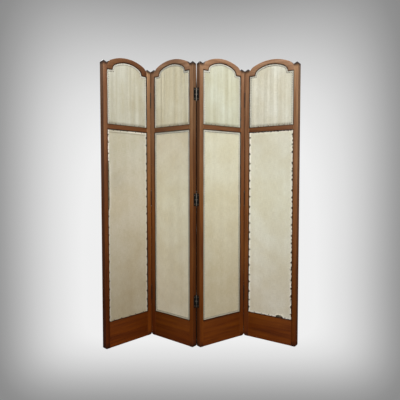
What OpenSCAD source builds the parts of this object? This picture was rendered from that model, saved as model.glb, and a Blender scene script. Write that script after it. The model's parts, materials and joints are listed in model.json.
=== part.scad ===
// A four-fold wooden folding screen. Each panel is a frame of two stiles and three rails with cloth
// stretched over it. It stands in a zigzag, resting on the feet of its stiles and on its bottom rails.
// The origin is at floor level, under the middle of the screen. +X runs along the screen from its
// first panel to its fourth, +Y from its front to its back, and +Z up.

/* [Screen] */
// Width of one panel
panel_w = 368; // [330:1:420]
// Height of the stiles below their pointed caps
stile_h = 1736; // [1680:1:1860]
// Turn of the first panel out of the screen's line, in degrees
turn_1 = 46; // [20:1:60]
// Turn of the second panel
turn_2 = 40; // [20:1:60]
// Turn of the third panel
turn_3 = 36; // [20:1:60]
// Turn of the fourth panel
turn_4 = 35; // [20:1:60]

/* [Stiles] */
// Width of a stile's face
stile_w = 34; // [30:1:42]
// Thickness of a stile
stile_t = 27; // [25:1:34]
// Height of the pointed cap
cap_h = 14; // [8:1:20]
// Width of the flat on the tip of the cap
cap_flat = 2.4; // [1:0.2:5]
// Rounding of the long edges
arris_r = 0.4; // [0.2:0.1:2.5]
// Rounding of the foot's outer corner
foot_r = 14; // [6:1:18]

/* [Rails] */
// How far the faces of the rails lie behind the faces of the stiles
rail_set_back = 1; // [0.5:0.25:2]
// Height of the bottom rail
bottom_rail_h = 164; // [140:1:200]
// Height of the middle rail
mid_rail_h = 32; // [26:1:50]
// Underside of the middle rail above the floor
mid_rail_z = 1341; // [1200:1:1400]
// Underside of the top rail's shoulders below the top of the stiles
top_rail_drop = 37; // [34:1:60]
// Length of each shoulder, from the stile to the spring of the arch
shoulder_w = 39; // [30:1:50]
// Rise of the arched opening above the shoulders
arch_rise = 58; // [52:1:75]
// Radius of the opening's haunches
arch_haunch_r = 40; // [30:1:46]
// Depth of the top rail at its crown
crown_depth = 28; // [24:1:36]
// Height of the top rail's ends, where its outer curve springs
rail_end_h = 13; // [11:1:18]
// Radius of the haunches of the outer curve
crown_haunch_r = 50; // [40:1:60]

/* [Joints of the frame] */
// Length of a tenon
tenon_l = 22; // [16:1:25]
// Thickness of a tenon
tenon_t = 9; // [7:0.5:11]
// Shoulder above and below a tenon
tenon_shoulder = 4; // [3:0.5:6]
// Space left round a tenon and at its end
tenon_gap = 0.3; // [0.1:0.1:0.6]

/* [Cloth rebates] */
// Depth of the rebate on each face of the frame
rebate_d = 6; // [5:0.5:8]
// Width of the tongue that the cloth is tacked to
tongue_w = 9; // [8:0.5:12]

/* [Cloth] */
// Thickness of the front cloths
cloth_t = 1; // [0.6:0.1:1.4]
// Thickness of the lining on the back
lining_t = 0.8; // [0.5:0.1:1.2]
// Space between the cloth's edge and the frame
cloth_gap = 0.4; // [0.3:0.1:1]
// Number of pleats across an upper cloth
pleat_count = 8; // [5:1:12]
// Depth of a pleat, from crest to hollow
pleat_d = 2.4; // [1:0.2:2.8]
// Width over which the pleats die away at each side
pleat_fade = 14; // [8:1:20]

/* [Tacks] */
// Width of a tack's head
tack_head_d = 6; // [4:0.5:7]
// Height of a tack's head
tack_head_h = 1.2; // [0.8:0.1:1.4]
// Thickness of a tack's shank
tack_shank_d = 1.3; // [1:0.1:1.6]
// Length of a tack's shank
tack_shank_l = 10; // [7:1:13]
// Spacing of the tacks
tack_spacing = 56; // [45:1:80]
// How far a tack set by eye strays from its place
tack_stray = 6; // [0:1:10]
// Distance of a row of tacks from the frame
tack_inset = 4.5; // [4:0.5:5]

/* [Hinges] */
// Gap between two neighbouring panels when the screen is flat
fold_gap = 0.3; // [0.2:0.1:4]
// How far a hinge's pin stands out from the faces of the panels
axis_proud = 0.15; // [0.1:0.05:1.5]
// Height of a hinge leaf
leaf_h = 76; // [68:1:90]
// Thickness of a leaf
leaf_t = 2; // [1.6:0.1:2.4]
// Strip of bare wood left beside a leaf
leaf_margin = 1.5; // [1:0.25:3]
// Width of the knuckles
knuckle_d = 8; // [7:0.25:9]
// Gap between two knuckles
knuckle_gap = 0.3; // [0.2:0.1:0.6]
// Thickness of a hinge pin
pin_d = 4; // [3:0.25:4.5]
// Height of the steeple tip at each end of a pin
tip_h = 9; // [6:1:12]
// Middle of the lowest hinges above the floor
low_hinge_z = 286; // [240:1:400]
// Middle of the centre hinges above the floor
mid_hinge_z = 914; // [700:1:1050]
// Middle of the highest hinges above the floor
high_hinge_z = 1552; // [1470:1:1600]

/* [Hinge screws] */
// Thickness of a screw
screw_d = 3.2; // [2.8:0.1:3.6]
// Width of a countersunk head
screw_head_d = 6.4; // [5.6:0.2:7]
// Length of a screw
screw_l = 17; // [12:1:22]
// Width of the driver slot
slot_w = 0.9; // [0.6:0.1:1.2]
// Depth of the driver slot
slot_d = 0.8; // [0.5:0.1:1]
// Width of the blunt end of a screw's point
screw_point_d = 0.6; // [0.4:0.1:1]
// Height from one screw of a leaf to the next
screw_spacing = 27; // [20:1:29]
// How far the outer screws stand across from the middle one
screw_step = 6; // [0:1:8]

/* [Hidden] */
$fn = 48;

wood = "saddlebrown";
silk = "wheat";
cotton = "tan";
iron = "dimgray";
steel = "darkgray";

// How far a cut runs past the surface that it opens
cut_past = 1;
// Radial clearance of a pin or a shank in its hole
running_gap = 0.05;
// Clearance round a knuckle in the wood and in the other leaf
knuckle_clear = 0.35;
// Clearance round a leaf in its seat
leaf_fit = 0.1;
// How far the outer curve of the top rail would run on into the stile
curve_run_on = 1;
// How far a tongue or a tenon is drawn into the wood that it grows from, which makes them one piece
sunk = 2;
// Room in the wood past the tips of a hinge's pin
tip_room = 2;
// Space between the hollows of a pleated cloth and the tongue
pleat_rest = 0.1;

// Heights and widths that follow from the frame
half_gap = fold_gap / 2;
axis_span = panel_w + fold_gap;
opening_w = panel_w - 2 * stile_w;
opening_left = half_gap + stile_w;
mid_u = axis_span / 2;
mid_rail_top = mid_rail_z + mid_rail_h;
shoulder_z = stile_h - top_rail_drop;
rail_t = stile_t - 2 * rail_set_back;
tongue_back = stile_t - rebate_d;
tenon_v = (stile_t - tenon_t) / 2;
cloth_v = rebate_d - cloth_t;

// A three-centred arch of half span c and rise h with haunches of radius r springs upright. Its
// crown has the radius that meets both haunches smoothly, and turns to them at crown_angle.
function crown_radius(c, h, r) = ((c - r) * (c - r) + h * h - r * r) / (2 * (h - r));
function crown_angle(c, h, r) = atan((c - r) / (crown_radius(c, h, r) - h));

// The opening's arch and the outer curve of the top rail
arch_c = opening_w / 2 - shoulder_w;
arch_crown_r = crown_radius(arch_c, arch_rise, arch_haunch_r);
curve_c = opening_w / 2 + curve_run_on;
curve_rise = arch_rise + crown_depth - rail_end_h;
curve_z = shoulder_z + rail_end_h;

// Top of the arched opening at a distance d from the middle of the panel
function crown_z(d) = shoulder_z + arch_rise - arch_crown_r + sqrt(arch_crown_r * arch_crown_r - d * d);
function haunch_z(d) = shoulder_z + sqrt(pow(arch_haunch_r, 2) - pow(d - arch_c + arch_haunch_r, 2));
arch_turn_d = arch_crown_r * sin(crown_angle(arch_c, arch_rise, arch_haunch_r));
function opening_top(d) = d > arch_c ? shoulder_z : d > arch_turn_d ? haunch_z(d) : crown_z(d);

// Turn of each panel, and the directions along it and through it
turns = [turn_1, -turn_2, turn_3, -turn_4];
function along(p) = [cos(turns[p]), sin(turns[p])];
function through(p) = [-sin(turns[p]), cos(turns[p])];

// Each panel starts at the line of its left hinge, on its front face. The centre fold hinges on the
// back faces, and the two others on the front faces. Places are counted from the centre fold's pin.
centre_back = stile_t + axis_proud;
start_2 = -axis_span * along(1) - centre_back * through(1);
left_pin = start_2 - axis_proud * through(1);
start_1 = left_pin - axis_span * along(0) + axis_proud * through(0);
start_3 = -centre_back * through(2);
right_pin = start_3 + axis_span * along(2) - axis_proud * through(2);
start_4 = right_pin + axis_proud * through(3);
starts = [start_1, start_2, start_3, start_4];

// The middle of the ground that the panels cover, found from their rounded corners
corner_u = [half_gap + arris_r, axis_span - half_gap - arris_r];
corner_v = [arris_r, stile_t - arris_r];
corners = [for (p = [0:3], u = corner_u, v = corner_v) starts[p] + u * along(p) + v * through(p)];
corner_x = [for (c = corners) c[0]];
corner_y = [for (c = corners) c[1]];
ground_middle = [(min(corner_x) + max(corner_x)) / 2, (min(corner_y) + max(corner_y)) / 2];

// The face that each panel's hinges stand on, at its left and its right edge
left_face = ["none", "front", "back", "front"];
right_face = ["front", "back", "front", "none"];
hinge_heights = [low_hinge_z, mid_hinge_z, high_hinge_z];
knuckle_count = 5;
knuckle_pitch = leaf_h / knuckle_count;
leaf_w = axis_proud + stile_t - leaf_margin;
// Place of the three screws of a leaf, up its height and across it from its middle
screw_places = [for (i = [-1:1]) [i * screw_spacing, (abs(i) - 0.5) * screw_step]];

// Rows of tacks. Each is spaced evenly and strays a little, another way on each row
function row(low, high, seed) =
    let (count = round((high - low) / tack_spacing), step = (high - low) / count)
    [for (i = [0:count - 1]) low + (i + 0.5) * step + tack_stray * sin(137 * i + 71 * seed)];
function lower_side_row(p, edge) = row(bottom_rail_h, mid_rail_z, 2 * p + edge);
function upper_side_row(p, edge) = row(mid_rail_top, shoulder_z, 2 * p + edge + 11);
cloth_from = opening_left + tongue_w;
cloth_to = axis_span - cloth_from;
function low_row(p) = row(cloth_from, cloth_to, p + 23);
function high_row(p) = row(cloth_from, cloth_to, p + 31);

// An upper cloth hangs in pleats, which die away at its sides. wave gives how far its front lies
// before the tongue, and a crest is where a pleat comes forward most.
pleat_w = (cloth_to - cloth_from) / pleat_count;
function fade(u) = max(0, min(1, min(u - cloth_from, cloth_to - u) / pleat_fade));
function wave(u) = cloth_v - pleat_rest - pleat_d / 2 * fade(u) * (1 - cos(360 * (u - cloth_from) / pleat_w));
function crest(i) = cloth_from + (i + 0.5) * pleat_w;
steps_per_pleat = 8;
wave_u = concat(
    [opening_left + cloth_gap],
    [for (i = [0:pleat_count * steps_per_pleat]) cloth_from + i * pleat_w / steps_per_pleat],
    [axis_span - opening_left - cloth_gap]);

// Puts a shape drawn on a panel into its place in the zigzag
module on_panel(p) {
    translate(starts[p] - ground_middle) rotate([0, 0, turns[p]]) children();
}

// Puts a shape drawn for the left edge of a panel on its left or its right edge
module at_edge(edge) {
    if (edge == 0) translate([half_gap, 0, 0]) children();
    if (edge == 1) translate([axis_span - half_gap, 0, 0]) mirror([1, 0, 0]) children();
}

// Puts a shape drawn about a hinge's pin, with the leaf running back, on the front or the back face
module at_hinge(face, z) {
    if (face == "front") translate([-half_gap, -axis_proud, z]) children();
    if (face == "back") translate([-half_gap, centre_back, z]) mirror([0, 1, 0]) children();
}

// Gives a face drawn across the panel, with its height as Y, a thickness from v_front to v_back
module slab(v_front, v_back) {
    translate([0, v_back, 0]) rotate([90, 0, 0]) linear_extrude(v_back - v_front) children();
}

// Runs a section drawn through the panel's thickness along the panel
module run(u_from, u_to) {
    translate([u_from, 0, 0]) rotate([90, 0, 90]) linear_extrude(u_to - u_from) children();
}

// Puts a shape that stands on z = 0 on its side, running back through the panel
module backwards() {
    rotate([-90, 0, 0]) children();
}

// A bar's section with rounded corners
module rounded_section(w, t) {
    translate([arris_r, 0]) square([w - 2 * arris_r, t]);
    translate([0, arris_r]) square([w, t - 2 * arris_r]);
    for (x = [arris_r, w - arris_r], y = [arris_r, t - arris_r]) translate([x, y]) circle(arris_r);
}

// Stile

// Outline of a stile from the front, with the foot's outer corner rounded
module stile_face() {
    difference() {
        pointed_outline(stile_w);
        difference() {
            translate([-cut_past, -cut_past]) square(foot_r + cut_past);
            translate([foot_r, foot_r]) circle(foot_r);
        }
    }
}

// A long bar's outline with a pointed cap
module pointed_outline(w) {
    polygon([
        [0, 0], [w, 0], [w, stile_h],
        [(w + cap_flat) / 2, stile_h + cap_h], [(w - cap_flat) / 2, stile_h + cap_h], [0, stile_h]]);
}

module stile_bar() {
    intersection() {
        linear_extrude(stile_h + cap_h) rounded_section(stile_w, stile_t);
        slab(0, stile_t) stile_face();
        run(0, stile_w) pointed_outline(stile_t);
    }
}

// The tongue between two rails
module stile_tongue(z_from, z_to) {
    translate([stile_w - sunk, rebate_d, z_from])
        cube([tongue_w + sunk, tongue_back - rebate_d, z_to - z_from]);
}

// Slot for a tenon that reaches from z_from to z_to
module mortise(z_from, z_to) {
    translate([stile_w - tenon_l - tenon_gap, tenon_v - tenon_gap, z_from - tenon_gap])
        cube([tenon_l + tenon_gap + cut_past, tenon_t + 2 * tenon_gap, z_to - z_from + 2 * tenon_gap]);
}

// Seat of one hinge in a stile's edge: the leaf's bed, room for the knuckles, and screw holes
module hinge_seat() {
    translate([half_gap - cut_past, -cut_past, -leaf_h / 2 - leaf_fit])
        cube([leaf_t + cut_past, leaf_w + leaf_fit + cut_past, leaf_h + 2 * leaf_fit]);
    cylinder(h = leaf_h + 2 * (tip_h + tip_room), d = knuckle_d + 2 * knuckle_clear, center = true);
    for (s = screw_places) screw_place(s) cylinder(h = screw_l + cut_past, d = screw_d + 2 * running_gap);
}

// Puts a shape that stands on z = 0 at a screw's place, running into the stile
module screw_place(s) {
    translate([half_gap, (axis_proud + leaf_w) / 2 + s[1], s[0]]) rotate([0, 90, 0]) children();
}

module tack_hole() {
    translate([0, -cut_past, 0]) backwards()
        cylinder(h = cloth_v + tack_shank_l + 2 * cut_past, d = tack_shank_d + 2 * running_gap, $fn = 16);
}

module stile(p, edge) {
    face = edge == 0 ? left_face[p] : right_face[p];
    color(wood) on_panel(p) at_edge(edge) difference() {
        union() {
            stile_bar();
            stile_tongue(bottom_rail_h, mid_rail_z);
            stile_tongue(mid_rail_top, shoulder_z);
        }
        for (t = bottom_tenons) mortise(t[0], t[1]);
        mortise(mid_rail_z + tenon_shoulder, mid_rail_top - tenon_shoulder);
        mortise(shoulder_z + tenon_shoulder, curve_z + tenon_shoulder);
        for (z = hinge_heights) at_hinge(face, z) hinge_seat();
        for (z = concat(lower_side_row(p, edge), upper_side_row(p, edge)))
            translate([stile_w + tack_inset, 0, z]) tack_hole();
    }
}

// Rails

// The bottom rail is deep, so it has two tenons at each end, one above the other
bottom_tenons = [
    [foot_r, bottom_rail_h / 2 - 2 * tenon_shoulder],
    [bottom_rail_h / 2 + 2 * tenon_shoulder, bottom_rail_h - tenon_shoulder]];

// Tenons at both ends of a rail
module tenons(z_from, z_to) {
    for (u = [opening_left - tenon_l, axis_span - opening_left - sunk])
        translate([u, tenon_v, z_from]) cube([tenon_l + sunk, tenon_t, z_to - z_from]);
}

// The tongue on a straight rail, which stops at the tongues of the stiles
module rail_tongue(z_from, z_to) {
    translate([cloth_from, rebate_d, z_from])
        cube([cloth_to - cloth_from, tongue_back - rebate_d, z_to - z_from]);
}

module straight_rail(z_from, h) {
    run(opening_left, axis_span - opening_left) translate([rail_set_back, z_from]) rounded_section(rail_t, h);
}

module bottom_rail(p) {
    color(wood) on_panel(p) difference() {
        union() {
            straight_rail(0, bottom_rail_h);
            rail_tongue(bottom_rail_h - arris_r - sunk, bottom_rail_h + tongue_w);
            for (t = bottom_tenons) tenons(t[0], t[1]);
        }
        for (u = low_row(p)) translate([u, 0, bottom_rail_h + tack_inset]) tack_hole();
    }
}

module mid_rail(p) {
    color(wood) on_panel(p) difference() {
        union() {
            straight_rail(mid_rail_z, mid_rail_h);
            rail_tongue(mid_rail_z - tongue_w, mid_rail_z + arris_r + sunk);
            rail_tongue(mid_rail_top - arris_r - sunk, mid_rail_top + tongue_w);
            tenons(mid_rail_z + tenon_shoulder, mid_rail_top - tenon_shoulder);
        }
        for (u = high_row(p)) translate([u, 0, mid_rail_z - tack_inset]) tack_hole();
        for (i = [0:pleat_count - 1]) translate([crest(i), 0, mid_rail_top + tack_inset]) tack_hole();
    }
}

// The area under a three-centred arch, drawn in by inset, above the springing line z
module arch_area(c, h, r, z, inset) {
    crown_r = crown_radius(c, h, r);
    angle = crown_angle(c, h, r);
    reach = 2 * crown_r;
    for (side = [-1, 1]) translate([mid_u + side * (c - r), z]) circle(r - inset, $fn = 96);
    translate([mid_u, z + h - crown_r]) intersection() {
        circle(crown_r - inset, $fn = 96);
        polygon([[0, 0], for (side = [1, -1]) [side * reach * sin(angle), reach * cos(angle)]]);
    }
}

// The upper opening of the frame, drawn in by inset on all sides
module upper_opening(inset) {
    translate([opening_left + inset, mid_rail_top + inset])
        square([opening_w - 2 * inset, shoulder_z - mid_rail_top - 2 * inset]);
    translate([mid_u - arch_c + inset, mid_rail_top + inset])
        square([2 * (arch_c - inset), shoulder_z - mid_rail_top - inset]);
    arch_area(arch_c, arch_rise, arch_haunch_r, shoulder_z, inset);
}

// What lies above the underside of the shoulders, less an edge at each stile
module above_shoulders(drop, edge) {
    translate([opening_left + edge, shoulder_z - drop])
        square([opening_w - 2 * edge, drop + arch_rise + crown_depth + cut_past]);
}

module top_rail_face() {
    difference() {
        intersection() {
            union() {
                arch_area(curve_c, curve_rise, crown_haunch_r, curve_z, 0);
                translate([opening_left, shoulder_z]) square([opening_w, rail_end_h]);
            }
            above_shoulders(0, 0);
        }
        upper_opening(0);
    }
}

module top_rail_tongue() {
    difference() {
        intersection() {
            upper_opening(-sunk);
            above_shoulders(tongue_w, tongue_w);
        }
        upper_opening(tongue_w);
    }
}

module top_rail(p) {
    color(wood) on_panel(p) difference() {
        union() {
            slab(rail_set_back, stile_t - rail_set_back) top_rail_face();
            slab(rebate_d, tongue_back) top_rail_tongue();
            tenons(shoulder_z + tenon_shoulder, curve_z + tenon_shoulder);
        }
        for (i = [0:pleat_count - 1]) arch_tack_place(i) tack_hole();
    }
}

// Place of the tack that holds a crest of the upper cloth to the arch
module arch_tack_place(i) {
    translate([crest(i), 0, opening_top(abs(crest(i) - mid_u)) - tack_inset]) children();
}

// Cloths

module upper_cloth(p) {
    color(silk) on_panel(p) difference() {
        intersection() {
            translate([0, 0, mid_rail_top]) linear_extrude(shoulder_z + arch_rise - mid_rail_top)
                polygon(concat(
                    [for (u = wave_u) [u, wave(u)]],
                    [for (i = [len(wave_u) - 1:-1:0]) [wave_u[i], wave(wave_u[i]) + cloth_t]]));
            slab(0, stile_t) upper_opening(cloth_gap);
        }
        for (i = [0:pleat_count - 1]) {
            arch_tack_place(i) tack_hole();
            translate([crest(i), 0, mid_rail_top + tack_inset]) tack_hole();
        }
        for (edge = [0, 1], z = upper_side_row(p, edge)) side_tack_place(edge, z) tack_hole();
    }
}

// Place of a tack on the tongue of a stile
module side_tack_place(edge, z) {
    at_edge(edge) translate([stile_w + tack_inset, 0, z]) children();
}

module lower_cloth_face() {
    translate([opening_left + cloth_gap, bottom_rail_h + cloth_gap])
        square([opening_w - 2 * cloth_gap, mid_rail_z - bottom_rail_h - 2 * cloth_gap]);
}

module lower_cloth(p) {
    color(silk) on_panel(p) difference() {
        slab(cloth_v, rebate_d) lower_cloth_face();
        for (edge = [0, 1], z = lower_side_row(p, edge)) side_tack_place(edge, z) tack_hole();
        for (u = low_row(p)) translate([u, 0, bottom_rail_h + tack_inset]) tack_hole();
        for (u = high_row(p)) translate([u, 0, mid_rail_z - tack_inset]) tack_hole();
    }
}

// The lining is pasted over both openings from behind
module back_lining(p) {
    color(cotton) on_panel(p) slab(tongue_back, tongue_back + lining_t) {
        upper_opening(cloth_gap);
        lower_cloth_face();
    }
}

// Tacks

// A tack with a head turned thin at its rim, which rests on the cloth where its front is at v
module tack(v) {
    r = tack_head_d / 2;
    shank_r = tack_shank_d / 2;
    translate([0, v, 0]) backwards() rotate_extrude($fn = 24) polygon([
        [0, -tack_head_h], [0.6 * r, -tack_head_h], [r, -0.3 * tack_head_h], [r, 0],
        [shank_r, 0], [shank_r, tack_shank_l], [0, tack_shank_l]]);
}

module tacks(p) {
    color(iron) on_panel(p) {
        for (edge = [0, 1], z = lower_side_row(p, edge)) side_tack_place(edge, z) tack(cloth_v);
        for (edge = [0, 1], z = upper_side_row(p, edge)) side_tack_place(edge, z) tack(wave(cloth_from));
        for (u = low_row(p)) translate([u, 0, bottom_rail_h + tack_inset]) tack(cloth_v);
        for (u = high_row(p)) translate([u, 0, mid_rail_z - tack_inset]) tack(cloth_v);
        for (i = [0:pleat_count - 1]) {
            arch_tack_place(i) tack(wave(crest(i)));
            translate([crest(i), 0, mid_rail_top + tack_inset]) tack(wave(crest(i)));
        }
    }
}

// Hinges

// The knuckles are numbered from below. A leaf has those of its own parity
module knuckles(parity, d, gap) {
    for (k = [parity:2:knuckle_count - 1])
        translate([0, 0, -leaf_h / 2 + k * knuckle_pitch + gap / 2]) cylinder(h = knuckle_pitch - gap, d = d);
}

module screw_head_cone(extra) {
    depth = (screw_head_d - screw_d) / 2;
    cylinder(h = depth, d1 = screw_head_d + 2 * extra, d2 = screw_d + 2 * extra);
}

module hinge_leaf(p, edge, parity, z) {
    face = edge == 0 ? left_face[p] : right_face[p];
    color(iron) on_panel(p) at_edge(edge) at_hinge(face, z) difference() {
        union() {
            translate([half_gap, 0, -leaf_h / 2]) cube([leaf_t, leaf_w, leaf_h]);
            knuckles(parity, knuckle_d, knuckle_gap);
        }
        knuckles(1 - parity, knuckle_d + 2 * knuckle_clear, 0);
        cylinder(h = leaf_h + cut_past, d = pin_d + 2 * running_gap, center = true);
        for (s = screw_places) screw_place(s) {
            translate([0, 0, -cut_past]) cylinder(h = leaf_t + 2 * cut_past, d = screw_d + 2 * running_gap);
            screw_head_cone(running_gap);
        }
    }
}

module screw() {
    difference() {
        union() {
            screw_head_cone(0);
            cylinder(h = screw_l - screw_d, d = screw_d);
            translate([0, 0, screw_l - screw_d]) cylinder(h = screw_d, d1 = screw_d, d2 = screw_point_d);
        }
        translate([-slot_w / 2, -screw_head_d, -cut_past])
            cube([slot_w, 2 * screw_head_d, cut_past + slot_d]);
    }
}

module hinge_screws(p) {
    color(steel) on_panel(p) for (edge = [0, 1], z = hinge_heights) {
        face = edge == 0 ? left_face[p] : right_face[p];
        at_edge(edge) at_hinge(face, z) for (s = screw_places) screw_place(s) screw();
    }
}

// A pin with a steeple tip turned at each end
module pin() {
    r = knuckle_d / 2;
    cylinder(h = leaf_h + 2 * knuckle_gap, d = pin_d, center = true);
    for (end = [0, 1]) mirror([0, 0, end]) translate([0, 0, leaf_h / 2 + knuckle_gap])
        rotate_extrude() polygon([
            [0, 0], [0.9 * r, 0], [0.9 * r, 0.12 * tip_h], [0.5 * r, 0.25 * tip_h],
            [0.75 * r, 0.45 * tip_h], [0.4 * r, 0.75 * tip_h], [0, tip_h]]);
}

module hinge_pins(p, edge) {
    face = edge == 0 ? left_face[p] : right_face[p];
    color(iron) on_panel(p) at_edge(edge) for (z = hinge_heights) at_hinge(face, z) pin();
}

// The pieces

stile(0, 0);  // panel_1_left_stile
stile(0, 1);  // panel_1_right_stile
top_rail(0);  // panel_1_top_rail
mid_rail(0);  // panel_1_mid_rail
bottom_rail(0);  // panel_1_bottom_rail
upper_cloth(0);  // panel_1_upper_cloth
lower_cloth(0);  // panel_1_lower_cloth
back_lining(0);  // panel_1_back_lining
tacks(0);  // panel_1_tacks
hinge_screws(0);  // panel_1_hinge_screws
stile(1, 0);  // panel_2_left_stile
stile(1, 1);  // panel_2_right_stile
top_rail(1);  // panel_2_top_rail
mid_rail(1);  // panel_2_mid_rail
bottom_rail(1);  // panel_2_bottom_rail
upper_cloth(1);  // panel_2_upper_cloth
lower_cloth(1);  // panel_2_lower_cloth
back_lining(1);  // panel_2_back_lining
tacks(1);  // panel_2_tacks
hinge_screws(1);  // panel_2_hinge_screws
stile(2, 0);  // panel_3_left_stile
stile(2, 1);  // panel_3_right_stile
top_rail(2);  // panel_3_top_rail
mid_rail(2);  // panel_3_mid_rail
bottom_rail(2);  // panel_3_bottom_rail
upper_cloth(2);  // panel_3_upper_cloth
lower_cloth(2);  // panel_3_lower_cloth
back_lining(2);  // panel_3_back_lining
tacks(2);  // panel_3_tacks
hinge_screws(2);  // panel_3_hinge_screws
stile(3, 0);  // panel_4_left_stile
stile(3, 1);  // panel_4_right_stile
top_rail(3);  // panel_4_top_rail
mid_rail(3);  // panel_4_mid_rail
bottom_rail(3);  // panel_4_bottom_rail
upper_cloth(3);  // panel_4_upper_cloth
lower_cloth(3);  // panel_4_lower_cloth
back_lining(3);  // panel_4_back_lining
tacks(3);  // panel_4_tacks
hinge_screws(3);  // panel_4_hinge_screws
hinge_leaf(0, 1, 1, high_hinge_z);  // left_fold_high_hinge_left_leaf
hinge_leaf(1, 0, 0, high_hinge_z);  // left_fold_high_hinge_right_leaf
hinge_leaf(0, 1, 1, mid_hinge_z);  // left_fold_mid_hinge_left_leaf
hinge_leaf(1, 0, 0, mid_hinge_z);  // left_fold_mid_hinge_right_leaf
hinge_leaf(0, 1, 1, low_hinge_z);  // left_fold_low_hinge_left_leaf
hinge_leaf(1, 0, 0, low_hinge_z);  // left_fold_low_hinge_right_leaf
hinge_leaf(1, 1, 0, high_hinge_z);  // centre_fold_high_hinge_left_leaf
hinge_leaf(2, 0, 1, high_hinge_z);  // centre_fold_high_hinge_right_leaf
hinge_leaf(1, 1, 0, mid_hinge_z);  // centre_fold_mid_hinge_left_leaf
hinge_leaf(2, 0, 1, mid_hinge_z);  // centre_fold_mid_hinge_right_leaf
hinge_leaf(1, 1, 0, low_hinge_z);  // centre_fold_low_hinge_left_leaf
hinge_leaf(2, 0, 1, low_hinge_z);  // centre_fold_low_hinge_right_leaf
hinge_leaf(2, 1, 0, high_hinge_z);  // right_fold_high_hinge_left_leaf
hinge_leaf(3, 0, 1, high_hinge_z);  // right_fold_high_hinge_right_leaf
hinge_leaf(2, 1, 0, mid_hinge_z);  // right_fold_mid_hinge_left_leaf
hinge_leaf(3, 0, 1, mid_hinge_z);  // right_fold_mid_hinge_right_leaf
hinge_leaf(2, 1, 0, low_hinge_z);  // right_fold_low_hinge_left_leaf
hinge_leaf(3, 0, 1, low_hinge_z);  // right_fold_low_hinge_right_leaf
union() {  // panel_2_hinge_pins
    hinge_pins(1, 0);
    hinge_pins(1, 1);
}
hinge_pins(2, 1);  // panel_3_hinge_pins
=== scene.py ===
import json
import math
import random

import bpy
from mathutils import Matrix, Vector


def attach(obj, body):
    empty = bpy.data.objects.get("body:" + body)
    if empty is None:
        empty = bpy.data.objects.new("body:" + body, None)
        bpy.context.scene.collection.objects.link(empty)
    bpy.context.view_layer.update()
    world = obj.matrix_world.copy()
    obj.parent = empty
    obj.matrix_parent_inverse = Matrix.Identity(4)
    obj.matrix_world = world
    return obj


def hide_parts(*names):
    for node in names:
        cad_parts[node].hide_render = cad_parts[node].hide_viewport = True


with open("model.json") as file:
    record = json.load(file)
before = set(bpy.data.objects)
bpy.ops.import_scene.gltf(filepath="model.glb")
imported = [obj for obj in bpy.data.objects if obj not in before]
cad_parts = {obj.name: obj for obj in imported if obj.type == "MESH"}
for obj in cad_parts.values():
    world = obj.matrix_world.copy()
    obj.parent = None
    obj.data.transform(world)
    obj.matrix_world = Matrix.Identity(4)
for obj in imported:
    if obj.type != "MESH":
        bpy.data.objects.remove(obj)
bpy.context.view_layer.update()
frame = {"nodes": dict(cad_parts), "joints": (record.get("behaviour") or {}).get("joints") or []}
bpy.ops.object.select_all(action="DESELECT")

# Wooden frames
# Each frame has two stiles and three rails of mahogany, tenoned and glued, stained red-brown and waxed.
# Their edges are eased with a plane, and handling has worn the stain thin along them.
panel_turns = [math.radians(turn) for turn in (46, -40, 36, -35)]
hinge_span = 0.3683
stile_thickness = 0.027
pin_proud = 0.00015
pins = {joint["name"]: Vector(joint["pos_m"]) for joint in frame["joints"]}
turned = [Matrix.Rotation(turn, 4, "Z") for turn in panel_turns]
panel_starts = [
    pins["left_fold"] + turned[0] @ Vector((-hinge_span, pin_proud, 0)),
    pins["left_fold"] + turned[1] @ Vector((0, pin_proud, 0)),
    pins["centre_fold"] + turned[2] @ Vector((0, -stile_thickness - pin_proud, 0)),
    pins["right_fold"] + turned[3] @ Vector((0, pin_proud, 0)),
]
panel_places = [Matrix.Translation(start) @ turn for start, turn in zip(panel_starts, turned)]


def linear(colour):
    """An sRGB hex colour as the linear colour that a shader takes."""
    parts = [int(colour[i:i + 2], 16) / 255 for i in (1, 3, 5)]
    return [p / 12.92 if p <= 0.04045 else ((p + 0.055) / 1.055) ** 2.4 for p in parts] + [1]


def add(material, kind, links=(), stops=None, **settings):
    """Adds a node with its settings, and gives each input, named by its name or number, a value or a link.

    Another node given as a value is linked by the first of its outputs that is in use."""
    node = material.node_tree.nodes.new("ShaderNode" + kind)
    for name, value in settings.items():
        setattr(node, name, value)
    for name, value in dict(links).items():
        if isinstance(value, bpy.types.Node):
            value = next(output for output in value.outputs if output.enabled)
        if isinstance(value, bpy.types.NodeSocket):
            material.node_tree.links.new(value, node.inputs[name])
        else:
            node.inputs[name].default_value = value
    if stops:
        while len(node.color_ramp.elements) < len(stops):
            node.color_ramp.elements.new(0.5)
        for element, (place, colour) in zip(node.color_ramp.elements, stops):
            element.position = place
            element.color = linear(colour)
    return node


def new_material(name):
    """A material with an empty node tree."""
    material = bpy.data.materials.new(name)
    material.use_nodes = True
    material.node_tree.nodes.clear()
    return material


# Mahogany has straight, fine grain: broad dim streaks about 20 mm wide, fine ones about 2 mm wide, and
# short dark pores, drawn 0.7 mm wide because the real ones, of about 0.2 mm, are too fine to show. The waxed
# stain is satin. It keeps its orange brown near the feet and turns a greyer pink towards the top, partly
# faded and partly a painted sheen. End grain is darker, partly from drinking more stain and partly as painted
# shade that makes the caps near black, and the sides are painted darker as shade. Grime and painted shade lie
# along the openings' edges, more painted shade lies along the folds, on the caps and in the centre fold's
# groove,
# and pale dust lies on the tongues behind the cloths' edges. Each board carries what this material reads:
# grain, its place with the grain along Z; spot, its place in the panel; cut, which is 1 in X on end grain, in
# Y on an eased edge and in Z on a side; and tone, how light the board is.
ramp_height = 1.8
mid_u = 0.18415
half_opening = 0.15
bottom_rail_top = 0.164
mid_rail_low = 1.341
mid_rail_top = 1.373
shoulder_low = 1.699
arch_half = 0.111
arch_rise = 0.058
haunch = 0.040
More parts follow.
